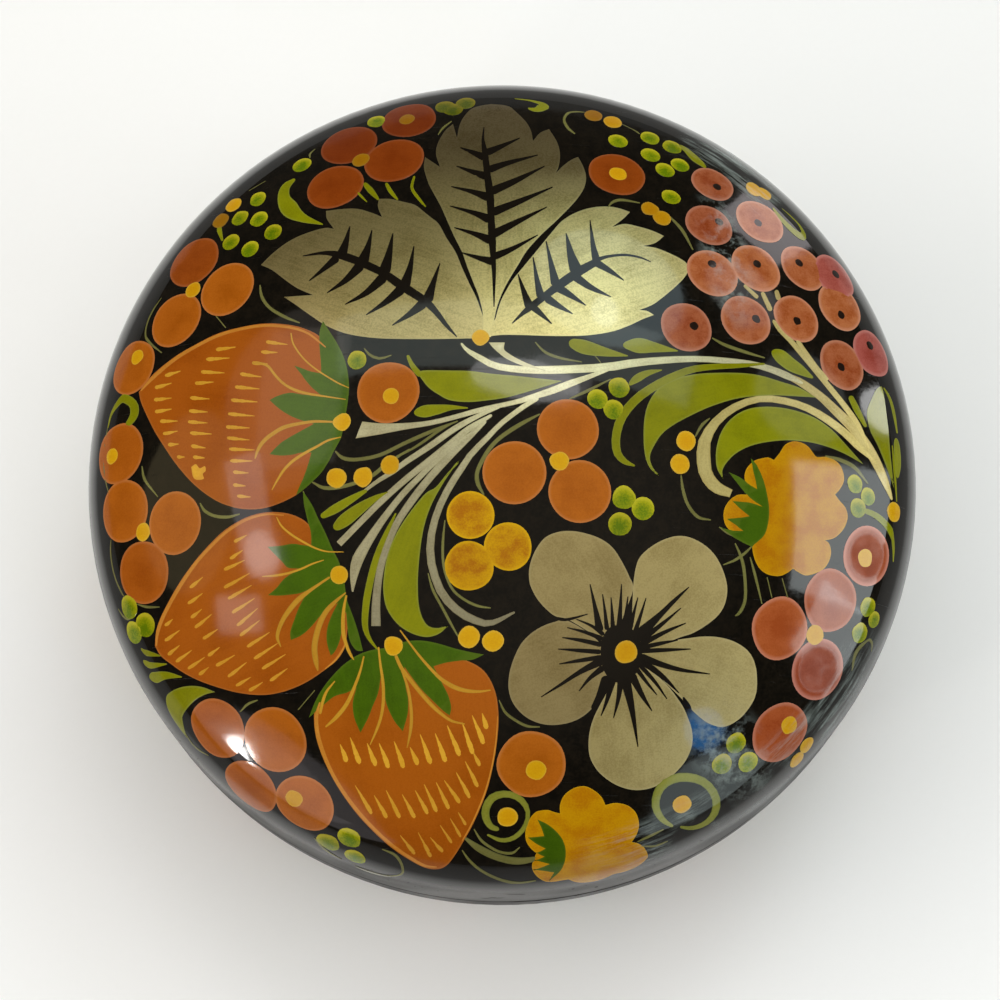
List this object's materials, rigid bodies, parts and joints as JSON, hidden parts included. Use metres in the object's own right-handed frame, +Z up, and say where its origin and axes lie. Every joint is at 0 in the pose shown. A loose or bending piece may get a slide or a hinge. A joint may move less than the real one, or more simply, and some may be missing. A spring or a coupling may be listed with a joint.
{
  "type": "round lidded trinket box",
  "caption": "Round turned wooden trinket box in black lacquer with a painted berry-and-leaf pattern, a domed lift-off lid over a raised lip and a bowl inside for small keepsakes.",
  "frame": {"origin": "middle of the foot ring, on the surface that the box stands on", "axes": "+Z up along the turned axis, towards the lid's crown; -Y towards the viewer of the picture"},
  "size_m": [0.12, 0.12, 0.07],
  "materials": {
    "lacquered_wood": "turned wood under black ground and glossy clear lacquer",
    "orange_paint": "hand-painted orange-red oil paint under clear lacquer",
    "gold_paint": "metal powder turned gold by the yellow lacquer over it",
    "green_paint": "hand-painted green oil paint under clear lacquer",
    "yellow_paint": "hand-painted yellow oil paint under clear lacquer"
  },
  "bodies": {
    "box": {"body": "lacquered_wood"},
    "lid": {"lid": "lacquered_wood"}
  },
  "joints": [
    {"name": "lid_lift", "type": "slide", "parent": "box", "child": "lid", "axis": [0, 0, 1], "range_m": [0, 0.08]}
  ]
}
